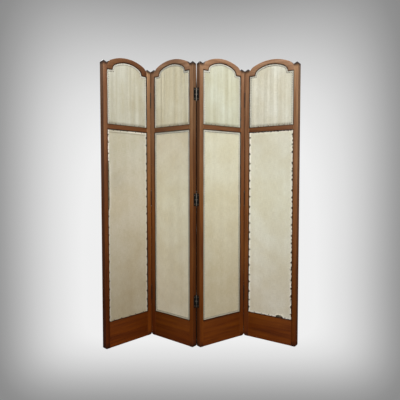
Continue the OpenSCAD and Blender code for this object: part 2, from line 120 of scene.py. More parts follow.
crown_radius = ((arch_half - haunch) ** 2 + arch_rise ** 2 - haunch ** 2) / (2 * (arch_rise - haunch))
crown_turn = math.atan2(arch_half - haunch, crown_radius - arch_rise)
crown_middle = shoulder_low + arch_rise - crown_radius

wood = new_material("stained_waxed_mahogany")
grain = add(wood, "Attribute", attribute_name="grain").outputs["Vector"]
cut = add(wood, "SeparateXYZ", {
    0: add(wood, "Attribute", attribute_name="cut").outputs["Vector"]})
tone = add(wood, "Attribute", attribute_name="tone").outputs["Fac"]
spot = add(wood, "SeparateXYZ", {
    0: add(wood, "Attribute", attribute_name="spot").outputs["Vector"]})
drift = add(wood, "TexNoise", {
    "Vector": add(wood, "Mapping", {"Vector": grain, "Scale": (12, 12, 2.2)}),
    "Scale": 1, "Detail": 3, "Roughness": 0.5})
# Colour by height: orange brown at the feet and a greyer pink towards the top, partly fading and partly
# painted sheen.
height_colour = add(wood, "ValToRGB", {
    0: add(wood, "Math", {0: spot.outputs["Z"], 1: ramp_height}, operation="DIVIDE")}, stops=[
        (0.0, "#86470f"), (0.14, "#7e4914"), (0.47, "#916131"), (0.8, "#9d7e60"), (0.92, "#a78b70"),
        (1.0, "#b89e83")])
toned = add(wood, "Mix", {
    "Factor": 1.0, 6: height_colour,
    7: add(wood, "ValToRGB", {0: tone}, stops=[
        (0.0, "#b0967a"), (0.12, "#cbae8e"), (0.5, "#f2ecea"), (1.0, "#fffaf0")])},
    data_type="RGBA", blend_type="MULTIPLY")
drifted = add(wood, "Mix", {
    "Factor": 1.0, 6: toned,
    7: add(wood, "ValToRGB", {0: drift}, stops=[
        (0.3, "#dcc4b4"), (0.5, "#f4ece6"), (0.7, "#fffaf0")])},
    data_type="RGBA", blend_type="MULTIPLY")
broad = add(wood, "TexNoise", {
    "Vector": add(wood, "Mapping", {"Vector": grain, "Scale": (46, 46, 1.9)}),
    "Scale": 1, "Detail": 6, "Roughness": 0.58, "Distortion": 0.7})
fine = add(wood, "TexNoise", {
    "Vector": add(wood, "Mapping", {"Vector": grain, "Scale": (430, 430, 9)}),
    "Scale": 1, "Detail": 3, "Roughness": 0.6})
pores = add(wood, "MapRange", {
    "Value": add(wood, "TexNoise", {
        "Vector": add(wood, "Mapping", {"Vector": grain, "Scale": (1500, 1500, 70)}),
        "Scale": 1, "Detail": 1}).outputs["Fac"],
    "From Min": 0.6, "From Max": 0.74})
streaks = add(wood, "Math", {
    0: add(wood, "Math", {0: broad, 1: 1.1}, operation="MULTIPLY"),
    1: add(wood, "Math", {0: fine, 1: 0.5}, operation="MULTIPLY")},
    operation="ADD")
figured = add(wood, "Mix", {
    "Factor": 1.0, 6: drifted,
    7: add(wood, "ValToRGB", {0: add(wood, "MapRange", {
        "Value": streaks, "From Min": 0.5, "From Max": 1.1})}, stops=[
            (0.0, "#a08676"), (0.5, "#ddd2ca"), (1.0, "#ffffff")])},
    data_type="RGBA", blend_type="MULTIPLY")
pored = add(wood, "Mix", {
    "Factor": add(wood, "Math", {0: pores, 1: 0.35}, operation="MULTIPLY"),
    6: figured, 7: linear("#2c1308")}, data_type="RGBA")
# Side faces, and the rails' top and bottom faces, are painted darker as painted shade.
shaded_sides = add(wood, "Mix", {
    "Factor": add(wood, "Math", {0: cut.outputs["Z"], 1: 0.38}, operation="MULTIPLY"),
    6: pored, 7: linear("#2b150b")}, data_type="RGBA")
# End grain is darker, partly from stain and partly as painted shade that makes the caps near black.
end_grain_stain_and_shade = add(wood, "Mix", {
    "Factor": add(wood, "MapRange", {
        "Value": cut.outputs["X"], "From Min": 0.3, "From Max": 0.7, "To Max": 0.96}),
    6: shaded_sides, 7: linear("#140d0a")}, data_type="RGBA")
rubbed = add(wood, "TexNoise", {"Vector": grain, "Scale": 60, "Detail": 5, "Roughness": 0.65})
worn = add(wood, "Mix", {
    "Factor": add(wood, "Math", {
        0: cut.outputs["Y"],
        1: add(wood, "MapRange", {
            "Value": rubbed, "From Min": 0.35, "From Max": 0.65, "To Max": 0.5})},
        operation="MULTIPLY"),
    6: end_grain_stain_and_shade, 7: linear("#a5754b")}, data_type="RGBA")

# The grime and painted shade along the openings' edges need the distance from the nearest opening: the lower
# one and the upper one's straight part are rectangles, and the arch is a crown with a rounder haunch at each
# side.
from_middle = add(wood, "Math", {
    0: add(wood, "Math", {0: spot.outputs["X"], 1: mid_u}, operation="SUBTRACT")},
    operation="ABSOLUTE")
beside = add(wood, "Math", {0: from_middle, 1: half_opening}, operation="SUBTRACT")
nearest = None
for low_edge, high_edge in ((bottom_rail_top, mid_rail_low), (mid_rail_top, shoulder_low)):
    below = add(wood, "Math", {0: low_edge, 1: spot.outputs["Z"]}, operation="SUBTRACT")
    above = add(wood, "Math", {0: spot.outputs["Z"], 1: high_edge}, operation="SUBTRACT")
    apart = add(wood, "Math", {
        0: beside, 1: add(wood, "Math", {0: below, 1: above}, operation="MAXIMUM")},
        operation="MAXIMUM")
    nearest = apart if nearest is None else add(
        wood, "Math", {0: nearest, 1: apart}, operation="MINIMUM")
above_crown_middle = add(wood, "Math", {
    0: spot.outputs["Z"], 1: crown_middle}, operation="SUBTRACT")
from_crown, from_haunch = [
    add(wood, "Math", {
        0: add(wood, "VectorMath", {
            0: add(wood, "CombineXYZ", {"X": across, "Y": up})}, operation="LENGTH"),
        1: radius}, operation="SUBTRACT")
    for across, up, radius in (
        (from_middle, above_crown_middle, crown_radius),
        (add(wood, "Math", {0: from_middle, 1: arch_half - haunch}, operation="SUBTRACT"),
         add(wood, "Math", {0: spot.outputs["Z"], 1: shoulder_low}, operation="SUBTRACT"),
         haunch))]
under_crown = add(wood, "Math", {
    0: from_middle,
    1: add(wood, "Math", {0: above_crown_middle, 1: math.tan(crown_turn)}, operation="MULTIPLY")},
    operation="LESS_THAN")
from_arch = add(wood, "Mix", {"Factor": under_crown, "A": from_haunch, "B": from_crown})
from_opening = add(wood, "Math", {0: nearest, 1: from_arch}, operation="MINIMUM")
patchy = add(wood, "MapRange", {
    "Value": add(wood, "TexNoise", {
        "Vector": add(wood, "TexCoord").outputs["Object"], "Scale": 45, "Detail": 3}).outputs["Fac"],
    "From Min": 0.35, "From Max": 0.6, "To Min": 0.6, "To Max": 0.97})
# Grime and painted shade: a dark line on the wood along the openings' edges.
grime_and_edge_shade = add(wood, "Mix", {
    "Factor": add(wood, "Math", {
        0: patchy,
        1: add(wood, "MapRange", {
            "Value": from_opening, "From Min": 0.0018, "From Max": 0.0062, "To Min": 1.0, "To Max": 0.0},
            interpolation_type="SMOOTHSTEP")}, operation="MULTIPLY"),
    6: worn, 7: linear("#1c0e06")}, data_type="RGBA")
dusty = add(wood, "Mix", {
    "Factor": add(wood, "MapRange", {
        "Value": from_opening, "From Min": -0.0035, "From Max": -0.006, "To Max": 0.9}),
    6: grime_and_edge_shade, 7: linear("#8c8871")}, data_type="RGBA")
from_outside = add(wood, "Math", {0: hinge_span / 2, 1: from_middle}, operation="SUBTRACT")
# Painted shade on the stiles' front and back faces near each panel's outer edges, where stiles meet at the
# folds.
fold_edge_shade = add(wood, "Math", {
    0: add(wood, "MapRange", {
        "Value": from_outside, "From Min": 0.0008, "From Max": 0.0062, "To Min": 0.7, "To Max": 0.0},
        interpolation_type="SMOOTHSTEP"),
    1: add(wood, "Math", {0: 1.0, 1: cut.outputs["Z"]}, operation="SUBTRACT")},
    operation="MULTIPLY")
# Painted shade on the stiles' caps.
cap_shade = add(wood, "Math", {
    0: add(wood, "MapRange", {
        "Value": beside, "From Min": 0.001, "From Max": 0.003, "To Max": 0.88}),
    1: add(wood, "MapRange", {
        "Value": spot.outputs["Z"], "From Min": 1.714, "From Max": 1.736}, interpolation_type="SMOOTHSTEP")},
    operation="MULTIPLY")
foot_grime = add(wood, "Math", {
    0: add(wood, "MapRange", {
        "Value": beside, "From Min": 0.001, "From Max": 0.003, "To Max": 0.7}),
    1: add(wood, "MapRange", {
        "Value": spot.outputs["Z"], "From Min": 0.045, "From Max": 0.0}, interpolation_type="SMOOTHSTEP")},
    operation="MULTIPLY")
# Painted shade deep in the centre fold's groove, below the top where the stiles warp apart.
from_centre_pin = add(wood, "VectorMath", {0: add(wood, "VectorMath", {
    0: add(wood, "VectorMath", {
        0: add(wood, "TexCoord").outputs["Object"], 1: pins["centre_fold"]}, operation="SUBTRACT"),
    1: (1, 1, 0)}, operation="MULTIPLY")}, operation="LENGTH")
centre_groove_shade = add(wood, "Math", {
    0: add(wood, "MapRange", {
        "Value": from_centre_pin, "From Min": 0.0045, "From Max": 0.0075, "To Min": 0.95, "To Max": 0.0}),
    1: add(wood, "MapRange", {
        "Value": spot.outputs["Z"], "From Min": 1.66, "From Max": 1.6})}, operation="MULTIPLY")
# Grime at the feet, together with the painted shade of the folds, the caps and the centre groove.
grime_and_painted_shade = add(wood, "Mix", {
    "Factor": add(wood, "Math", {
        0: add(wood, "Math", {0: fold_edge_shade, 1: cap_shade}, operation="MAXIMUM"),
        1: add(wood, "Math", {0: foot_grime, 1: centre_groove_shade}, operation="MAXIMUM")},
        operation="MAXIMUM"),
    6: dusty, 7: linear("#1e110b")}, data_type="RGBA")
relief = add(wood, "Math", {
    0: add(wood, "Math", {0: fine, 1: 0.5}, operation="MULTIPLY"),
    1: pores}, operation="SUBTRACT")
wood_shader = add(wood, "BsdfPrincipled", {
    "Base Color": grime_and_painted_shade, "IOR": 1.5, "Specular IOR Level": 0.25,
    "Roughness": add(wood, "MapRange", {
        "Value": streaks, "From Min": 0.45, "From Max": 1.15,
        "To Min": 0.52, "To Max": 0.4}),
    "Coat Weight": 0.03, "Coat Roughness": 0.3,
    "Normal": add(wood, "Bump", {
        "Height": relief, "Strength": 0.35, "Distance": 0.0002})})
add(wood, "OutputMaterial", {"Surface": wood_shader})


def eased_copy(node, name, ease):
    """A merged copy of a CAD node with its sharp edges rounded."""
    source = frame["nodes"][node]
    piece = bpy.data.objects.new(name, source.data.copy())
    bpy.context.scene.collection.objects.link(piece)
    bpy.context.view_layer.objects.active = piece
    piece.select_set(True)
    bpy.ops.object.mode_set(mode="EDIT")
    bpy.ops.mesh.select_all(action="SELECT")
    bpy.ops.mesh.remove_doubles(threshold=0.00001)
    bpy.ops.object.mode_set(mode="OBJECT")
    bevel = piece.modifiers.new("ease", "BEVEL")
    bevel.width = ease
    bevel.segments = 2
    bevel.limit_method = "ANGLE"
    bevel.angle_limit = math.radians(40)
    bpy.ops.object.modifier_apply(modifier="ease")
    bpy.ops.object.shade_smooth_by_angle(angle=math.radians(30))
    piece.select_set(False)
    return piece


# Where two stiles meet at a fold their edges are left sharp and close, so that no light shows between them,
# except above the centre fold's top hinge, where the old stiles have warped a little apart. Each stile is
# listed with the place of its meeting edge, along the panel and through it, and which way is inwards along
# the panel and outwards through it.
centre_hinge_top = 1.605
warped_apart = 0.0031
closed_apart = 0.000004
edge_proud = 0.000146
edge_reach = 0.0009
meeting_edges = {
    (1, "right_stile"): (hinge_span, 0, -1, -1), (2, "left_stile"): (0, 0, 1, -1),
    (2, "right_stile"): (hinge_span, stile_thickness, -1, 1), (3, "left_stile"): (0, stile_thickness, 1, 1),
    (3, "right_stile"): (hinge_span, 0, -1, -1), (4, "left_stile"): (0, 0, 1, -1)}
board_tones = {
    "left_stile": (0.27, 0.55, 0.8, 0.8), "right_stile": (1.0, 1.0, 0.65, 1.0),
    "top_rail": (0.0, 0.42, 0.42, 0.45), "mid_rail": (0.1, 0.28, 0.26, 0.14),
    "bottom_rail": (0.3, 0.5, 0.5, 0.8)}
random.seed(11)
for number, place in enumerate(panel_places, start=1):
    to_panel = place.inverted()
    for part, ease in (
            ("left_stile", 0.0005), ("right_stile", 0.0005), ("top_rail", 0.0013),
            ("mid_rail", 0.0005), ("bottom_rail", 0.0005)):
        node = f"panel_{number}_{part}"
        piece = eased_copy(node, f"{node}_wood", ease)
        if (number, part) in meeting_edges:
            edge_u, edge_v, inwards, outwards = meeting_edges[number, part]
            for vertex in piece.data.vertices:
                at = to_panel @ vertex.co
                if abs(at.x - edge_u) < edge_reach and abs(at.y - edge_v) < edge_reach:
                    apart = warped_apart if edge_v and at.z > centre_hinge_top else closed_apart
                    vertex.co = place @ Vector((
                        edge_u + apart * inwards, edge_v + edge_proud * outwards, at.z))
            bpy.context.view_layer.objects.active = piece
            piece.select_set(True)
            bpy.ops.object.mode_set(mode="EDIT")
            bpy.ops.mesh.select_all(action="SELECT")
            bpy.ops.mesh.remove_doubles(threshold=0.00001)
            bpy.ops.mesh.dissolve_degenerate(threshold=0.00002)
            bpy.ops.object.mode_set(mode="OBJECT")
            bpy.ops.mesh.customdata_custom_splitnormals_clear()
            bpy.ops.object.shade_smooth_by_angle(angle=math.radians(30))
            piece.select_set(False)
        upright = part.endswith("stile")
        shift = Vector((random.uniform(0, 3), random.uniform(0, 3), random.uniform(0, 3)))
        grain_of = piece.data.attributes.new("grain", "FLOAT_VECTOR", "POINT")
        spot_of = piece.data.attributes.new("spot", "FLOAT_VECTOR", "POINT")
        for vertex in piece.data.vertices:
            at = to_panel @ vertex.co
            spot_of.data[vertex.index].vector = at
            grain_of.data[vertex.index].vector = shift + (at if upright else Vector((at.z, at.y, at.x)))
        cut_of = piece.data.attributes.new("cut", "FLOAT_VECTOR", "FACE")
        for face, value in zip(piece.data.polygons, cut_of.data):
            facing = to_panel.to_3x3() @ face.normal
            end_on = abs(facing.z if upright else facing.x)
            value.vector = (
                end_on, end_on < 0.3 and 0.15 < abs(facing.y) < 0.97,
                abs(facing.x if upright else facing.z) > 0.9)
        for value in piece.data.attributes.new("tone", "FLOAT", "POINT").data:
            value.value = board_tones[part][number - 1]
        piece.data.materials.clear()
        piece.data.materials.append(wood)
        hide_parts(node)
        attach(piece, f"panel_{number}")

# Lower cloths
# A plain-woven cream cotton, pulled tight over the rebate on the front of each frame and tacked all
# round. On the two outer panels its trim has gone, and the raw edge frays between the tacks.
opening_left = mid_u - half_opening
opening_right = mid_u + half_opening
cloth_face = 0.005
cloth_lift = 0.0002
cloth_play = 0.0006
lower_tack_rows = 21
tack_stray = 0.006


def stray(seed, count, low, high):
    """Heights of a row of tacks set by eye, as the model places them."""
    step = (high - low) / count
    return [
        low + (i + 0.5) * step + tack_stray * math.sin(math.radians(137 * i + 71 * seed))
        for i in range(count)]


def ripple(seed, x):
    """A smooth wandering value between about -1 and 1."""
    return sum(
        math.sin(x * (1.7 + 1.31 * k) + seed * (2.3 + k * 1.9)) / (1 + 0.6 * k) for k in range(4)) / 2.2


def woven_cloth(name, ages, thread, streak, sheen):
    """Matt plain-woven cloth with slubs and crossing threads, whose colour changes with height as ages says.

    Its marks are soil, with some painted shade, in X and the pale fluff of a raw edge in Y. The threads cross
    at a spacing of thread.
    Real ones are 0.2 to 0.5 mm apart, too fine to show, so all are drawn 3 to 10 times coarser."""
    cloth = new_material(name)
    place = add(cloth, "Attribute", attribute_name="cloth").outputs["Vector"]
    marks = add(cloth, "SeparateXYZ", {
        0: add(cloth, "Attribute", attribute_name="marks").outputs["Vector"]})
    clouds = add(cloth, "TexNoise", {
        "Vector": place, "Scale": 7, "Detail": 5, "Roughness": 0.55})
    spots = add(cloth, "TexNoise", {
        "Vector": place, "Scale": 26, "Detail": 6, "Roughness": 0.7, "Distortion": 1.2})
    falls = add(cloth, "TexNoise", {
        "Vector": add(cloth, "Mapping", {"Vector": place, "Scale": (27, 1.2, 1)}),
        "Scale": 1, "Detail": 2})
    slubs = add(cloth, "TexNoise", {
        "Vector": add(cloth, "Mapping", {"Vector": place, "Scale": (30, 1500, 1500)}),
        "Scale": 1, "Detail": 3})
    warp = add(cloth, "TexNoise", {
        "Vector": add(cloth, "Mapping", {"Vector": place, "Scale": (900, 30, 30)}),
        "Scale": 1, "Detail": 3})
    height_colour = add(cloth, "ValToRGB", {0: add(cloth, "Math", {
        0: add(cloth, "SeparateXYZ", {0: place}).outputs["Y"], 1: ramp_height}, operation="DIVIDE")},
        stops=[(height / ramp_height, colour) for height, colour in ages])
    layers = [
        (add(cloth, "MapRange", {
            "Value": clouds, "From Min": 0.35, "From Max": 0.65}), "#f6f2e9"),
        (add(cloth, "MapRange", {
            "Value": falls, "From Min": 0.35, "From Max": 0.65, "To Max": streak}), "#dcd5c8"),
        (add(cloth, "MapRange", {
            "Value": spots, "From Min": 0.6, "From Max": 0.8, "To Max": 0.35}), "#d6cbb6"),
        (marks.outputs["X"], "#6d5f4c")]
    worked = height_colour
    for factor, colour in layers:
        worked = add(cloth, "Mix", {
            "Factor": factor, 6: worked, 7: linear(colour)}, data_type="RGBA", blend_type="MULTIPLY")
    frayed = add(cloth, "Mix", {
        "Factor": marks.outputs["Y"], 6: worked, 7: linear("#fdf6ea")}, data_type="RGBA")
    threads = add(cloth, "Math", {0: slubs, 1: warp}, operation="ADD")
    streaky = add(cloth, "Mix", {
        "Factor": 1.0, 6: frayed,
        7: add(cloth, "ValToRGB", {0: add(cloth, "MapRange", {
            "Value": threads, "From Min": 0.75, "From Max": 1.25})}, stops=[
                (0.0, "#e1dfda"), (1.0, "#fcfcfb")])},
        data_type="RGBA", blend_type="MULTIPLY")
    crossing = add(cloth, "Math", {
        0: add(cloth, "TexWave", {
            "Vector": place, "Scale": 0.05 * math.tau / thread, "Distortion": 0.4,
            "Detail Scale": 3}, bands_direction="X").outputs["Fac"],
        1: add(cloth, "TexWave", {
            "Vector": place, "Scale": 0.05 * math.tau / thread, "Distortion": 0.4,
            "Detail Scale": 3}, bands_direction="Y").outputs["Fac"]}, operation="MULTIPLY")
    relief = add(cloth, "Math", {0: crossing, 1: threads}, operation="ADD")
    shader = add(cloth, "BsdfPrincipled", {
        "Base Color": streaky, "Roughness": 0.85, "Specular IOR Level": 0.25,
        "Sheen Weight": sheen, "Sheen Roughness": 0.5,
        "Normal": add(cloth, "Bump", {
            "Height": relief, "Strength": 0.5, "Distance": 0.0004})})
    add(cloth, "OutputMaterial", {"Surface": shader})
    return cloth


def cloth_grid(name, columns, rows, spot, marked=None):
    """A grid of cloth put where spot(across, up) says, both from 0 to 1, with the marks of marked(u, z)."""
    bpy.ops.mesh.primitive_grid_add(x_subdivisions=columns, y_subdivisions=rows, size=1)
    cloth = bpy.context.object
    cloth.name = name
    kept = cloth.data.attributes.new("cloth", "FLOAT_VECTOR", "POINT")
    marks = cloth.data.attributes.new("marks", "FLOAT_VECTOR", "POINT")
    for vertex, value, mark in zip(cloth.data.vertices, kept.data, marks.data):
        spread = spot(vertex.co.x + 0.5, vertex.co.y + 0.5)
        vertex.co = spread
        value.vector = (spread[0], spread[2], 0)
        mark.vector = (*marked(spread[0], spread[2]), 0) if marked else (0, 0, 0)
    return cloth


def stand_cloth(cloth, thickness, number, material):
    """Gives a cloth its thickness and finish and stands it in its panel."""
    cloth.select_set(True)
    bpy.context.view_layer.objects.active = cloth
    solid = cloth.modifiers.new("thickness", "SOLIDIFY")
    solid.thickness = thickness
    solid.offset = -1
    bpy.ops.object.modifier_apply(modifier="thickness")
    bpy.ops.object.shade_smooth_by_angle(angle=math.radians(60))
    cloth.data.transform(panel_places[number - 1])
    for value in cloth.data.attributes["cloth"].data:
        value.vector = Vector(value.vector) + Vector((number * 0.7, 0, number * 3.1))
    cloth.data.materials.clear()
    cloth.data.materials.append(material)
    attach(cloth, f"panel_{number}")
    cloth.select_set(False)


# Panel 1's cloth has slipped back from its left stile for a stretch and frays above it, and panel 4's is torn
# at the foot, jagged on the right and drawn up in points along the top.
slipped_low, slipped_high, slipped_back = 0.84, 1.15, 0.009
fringe_low, fringe_pitch = 1.13, 0.0265
tear_left, tear_right, tear_rise = 0.228, 0.282, 0.015
raw_edge, deepest_tear = 0.0012, 0.0115
flap_height, flap_lift = 0.024, 0.0035
notch_pitch = 0.034
point_pitch = 0.022
foot_stain_pitch = 0.0135
fluff_reach = 0.0085
# The weave shows most on panel 4, where it is drawn coarsest.
cotton_threads = (0.0024, 0.0024, 0.0024, 0.0045)
cotton_ages = [
    [(0.3, "#b9ad95"), (0.9, "#cdc5b2"), (1.25, "#c5c1b0")],
    [(0.3, "#e7ddc5"), (0.9, "#ede9d1"), (1.25, "#e3dcc6")],
    [(0.3, "#d1c6ab"), (0.9, "#dfdac2"), (1.25, "#dddbc6")],
    [(0.3, "#e4dece"), (0.9, "#eaead9"), (1.25, "#dcdac9")]]
for number in range(1, 5):
    cotton = woven_cloth(
        f"stretched_cotton_{number}", cotton_ages[number - 1], thread=cotton_threads[number - 1],
        streak=0.15, sheen=0.1)
    bare = number in (1, 4)
    side_tacks = [
        stray(2 * (number - 1) + edge, lower_tack_rows, bottom_rail_top, mid_rail_low) for edge in (0, 1)]
    notches = [bottom_rail_top + 0.02 + notch_pitch * i + 0.006 * math.sin(9.1 * i) for i in range(34)]

    def pull_in(rows, along, seed, bare=bare, number=number, notches=notches):
        """How far the raw edge has torn back from the frame round its tacks, and between them."""
        if not bare:
            return cloth_play
        torn = sum(
            (0.001 + 0.0055 * abs(math.sin(5.3 * i + seed))) * math.exp(-((along - row) / 0.0055) ** 2)
            for i, row in enumerate(rows))
        if seed == 9:
            torn += sum(
                (0.002 + 0.005 * abs(math.sin(3.7 * i + seed))) * math.exp(-((along - notch) / 0.005) ** 2)
                for i, notch in enumerate(notches))
        if seed == 1:
            upwards = min(1, max(0, (along - slipped_low) / 0.03))
            downwards = min(1, max(0, (slipped_high - along) / 0.02))
            torn = max(torn, slipped_back * upwards * downwards)
        return min(deepest_tear, raw_edge + torn + max(0.0, raw_edge * ripple(seed, along * 150)))

    def lower_spot(across, up, number=number, side_tacks=side_tacks, pull_in=pull_in):
        u = opening_left + across * (opening_right - opening_left)
        z = bottom_rail_top + up * (mid_rail_low - bottom_rail_top)
        low = cloth_play + (0.002 * max(0, ripple(number, u * 90)) if number in (1, 4) else 0)
        points = 0.0045 * math.sin(math.pi * u / point_pitch) ** 2 * (0.4 + 0.6 * abs(ripple(5, u * 30)))
        high = cloth_play + {1: 0.002 * max(0, ripple(10, u * 90)), 4: points}.get(number, 0)
        if number == 4 and tear_left < u < tear_right:
            arc = max(0, math.sin(math.pi * (u - tear_left) / (tear_right - tear_left)))
            low += tear_rise * arc ** 0.5 + 0.002 * ripple(3, u * 400)
        z = bottom_rail_top + low + up * (mid_rail_low - bottom_rail_top - low - high)
        left = pull_in(side_tacks[0], z, number)
        right = pull_in(side_tacks[1], z, number + 5)
        u = opening_left + left + across * (opening_right - opening_left - left - right)
        edge = min(u - opening_left, opening_right - u, z - bottom_rail_top, mid_rail_low - z)
        slack = math.exp(-edge / 0.03)
        pucker = 0.0005 * slack * ripple(number, z * 55 + u * 8)
        belly = 0.0007 * ripple(number + 2, u * 9 + z * 2.1)
        raw = min(u - opening_left - left, opening_right - right - u)
        curl = lift = 0
        if number == 4:
            curl = 0.0026 * math.exp(-(raw / 0.0045) ** 2) * (0.6 + 0.4 * ripple(number, z * 190))
            if tear_left < u < tear_right and z < bottom_rail_top + flap_height:
                lift = flap_lift * min(1, math.exp(-(z - bottom_rail_top - flap_height / 2) / 0.006))
        return Vector((
            u, cloth_face - cloth_lift - abs(pucker) - abs(belly) * (1 - slack) - max(lift, curl), z))

    def lower_marks(u, z, number=number, side_tacks=side_tacks, pull_in=pull_in):
        """Soil and rust round the tacks, soil and painted shade beside the frame on the middle two cloths,
        and the pale fluff of a raw edge, all from 0 to 1.
        """
        side = min(u - opening_left, opening_right - u)
        # The middle two cloths darken towards the frame's sides: soil, and painted shade beside the frame.
        if number in (2, 3):
            return 0.28 * math.exp(-(side / 0.012) ** 2) * (0.6 + 0.4 * ripple(number, z * 30)), 0
        rows = side_tacks[0 if u < mid_u else 1]
        from_edge = min(mid_rail_low - z, side - pull_in(rows, z, number if u < mid_u else number + 5))
        if number == 4:
            from_edge = min(from_edge, z - bottom_rail_top)
        rust = max(math.exp(-((z - row) / 0.005) ** 2 - ((side - 0.005) / 0.005) ** 2) for row in rows)
        fluff = math.exp(-(max(0, from_edge) / fluff_reach) ** 2) * (
            0.85 + 0.4 * ripple(number, z * 170 + u * 210))
        if number == 4:
            fluff -= 1.7 * rust
        if number == 1 and u < mid_u and z > fringe_low:
            between = max(0, math.cos(math.tau * z / fringe_pitch)) ** 6
            rust = max(rust, 1.3 * between * math.exp(-((side - 0.002) / 0.005) ** 2))
            fluff = 2.2 * math.exp(-((side - 0.004) / 0.006) ** 2) - 2 * rust
        if number == 1 and mid_rail_low - z < 0.012:
            fluff = 1.6 * fluff + 0.3
        if number == 4 and z < bottom_rail_top + 0.006:
            rust = max(rust, 0.9 * max(0, math.cos(math.tau * u / foot_stain_pitch)) ** 2)
        under_rail = 0.5 * math.exp(-((mid_rail_low - z - 0.016) / 0.003) ** 2) if number == 1 else 0
        blot = 0.12 * math.exp(-((u - 0.1) / 0.05) ** 2 - ((z - 1.03) / 0.06) ** 2) if number == 1 else 0
        return min(1, (1.1 if number == 4 else 0.75) * rust + under_rail + blot), min(
            1, max(0, fluff) * (1.0 if number == 4 else 0.45))

    cloth = cloth_grid(f"panel_{number}_stretched_cotton", 90, 330, lower_spot, lower_marks)
    stand_cloth(cloth, 0.0006, number, cotton)
    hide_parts(f"panel_{number}_lower_cloth")

# Upper cloths
# Cream silk gathered on a thread along its top and bottom, which gives soft upright pleats of uneven
# width with a faint sheen. It is tacked to the rebate of the arched opening under the edging tape.
cloth_gap = 0.0024


def opening_top(u, inset=0.0):
    """Height of the arched opening's edge above u, drawn in by inset."""
    d = abs(u - mid_u)
    if d >= arch_half - inset:
        return shoulder_low - inset
    if d > (crown_radius - inset) * math.sin(crown_turn):
        return shoulder_low + math.sqrt(max(0, (haunch - inset) ** 2 - (d - arch_half + haunch) ** 2))
    return crown_middle + math.sqrt((crown_radius - inset) ** 2 - d * d)


pleat_width = 0.052
pleat_depth = 0.0019
fullest_pleat = 0.0034
hem_edge = 0.001
gather_pitch = 0.0102
silk_colours = ("#c6c5b7", "#dedac4", "#d2d5c4", "#dbdacd")
for number in range(1, 5):
    silk_ages = [(height, silk_colours[number - 1]) for height in (1.4, 1.75)]
    silk = woven_cloth(f"gathered_silk_{number}", silk_ages, thread=0.0008, streak=0.6, sheen=0.25)

    def upper_spot(across, up, number=number):
        u = opening_left + cloth_gap + across * (opening_right - opening_left - 2 * cloth_gap)
        top = opening_top(u, cloth_gap)
        z = mid_rail_top + hem_edge + up * (top - mid_rail_top - hem_edge)
        wander = 0.5 * ripple(number, u * 14) + 0.1 * ripple(number + 4, z * 5 + u * 5)
        turn = math.tau * (u / pleat_width + wander)
        size = 0.75 + 0.3 * ripple(number + 7, u * 23)
        pleat = size * (0.5 + 0.5 * math.cos(turn))
        small = 0.14 * (0.5 + 0.5 * math.cos(2.3 * turn + 3 * wander + number))
        hem = min(z - mid_rail_top, top - z)
        gathers = 0.5 * math.exp(-hem / 0.014) * (
            0.5 + 0.5 * math.cos(math.tau * u / gather_pitch + 2 * wander))
        flat = min(1, max(0, (min(u - opening_left, opening_right - u, top - z) - 0.009) / 0.014))
        flat = flat * flat * (3 - 2 * flat)
        foot = min(1, (z - mid_rail_top) / 0.02)
        gathers *= 1 if hem == z - mid_rail_top else flat
        forward = pleat_depth * ((pleat + small) * flat * (0.35 + 0.65 * foot) + gathers)
        return Vector((u, cloth_face - cloth_lift - min(forward, fullest_pleat), z))

    def hem_soil_and_shade(u, z, number=number):
        """Soil along the gathered hem, with dark marks at its gathers painted as their shade, from 0 to 1."""
        up = z - mid_rail_top
        folds = max(0, math.cos(math.tau * u / gather_pitch + ripple(number, u * 14))) ** 2
        return min(1, (0.3 + 0.7 * folds) * math.exp(-(up / 0.015) ** 4)), 0

    cloth = cloth_grid(f"panel_{number}_pleated_silk", 220, 110, upper_spot, hem_soil_and_shade)
    stand_cloth(cloth, 0.0005, number, silk)
    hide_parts(f"panel_{number}_upper_cloth")

# Back linings
# Unbleached cotton pasted over both openings of each frame from behind, so that it hides the tacks' points.
lining = woven_cloth(
    "pasted_lining_cotton", [(0.2, "#b9a67f"), (0.9, "#c9b893"), (1.7, "#cbbd9c")], thread=0.0018, streak=0.2,
    sheen=0.05)
lining_face = 0.0218
lining_edge = 0.0005
lining_sag = 0.0004
for number in range(1, 5):
    def low_lining_spot(across, up, number=number):
        u = opening_left + lining_edge + across * (opening_right - opening_left - 2 * lining_edge)
        z = bottom_rail_top + lining_edge + up * (mid_rail_low - bottom_rail_top - 2 * lining_edge)
        return Vector((u, lining_face + lining_sag * ripple(number, u * 40 + z * 13), z))

    def high_lining_spot(across, up, number=number):
        u = opening_left + lining_edge + across * (opening_right - opening_left - 2 * lining_edge)
        z = mid_rail_top + lining_edge + up * (opening_top(u, lining_edge) - mid_rail_top - lining_edge)
        return Vector((u, lining_face + lining_sag * ripple(number + 3, u * 40 + z * 13), z))

    for part, rows, spot, flat, area in (
            ("lower", 100, low_lining_spot, (0.30, 1.177), None),
            ("upper", 40, high_lining_spot, (0.30, 0.384), 0.108)):
        cloth = cloth_grid(f"panel_{number}_{part}_lining", 40, rows, spot)
        bpy.ops.object.mode_set(mode="EDIT")
        bpy.ops.mesh.select_all(action="SELECT")
        bpy.ops.mesh.flip_normals()
        bpy.ops.object.mode_set(mode="OBJECT")
        stand_cloth(cloth, 0.0006, number, lining)
        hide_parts(f"panel_{number}_back_lining")

# Tacks
# Cut tacks of blued iron with flat round heads about 6 mm wide. The upper ones are driven home through
# the gathers and lie under the tape, and the lower ones show where the trim has gone.


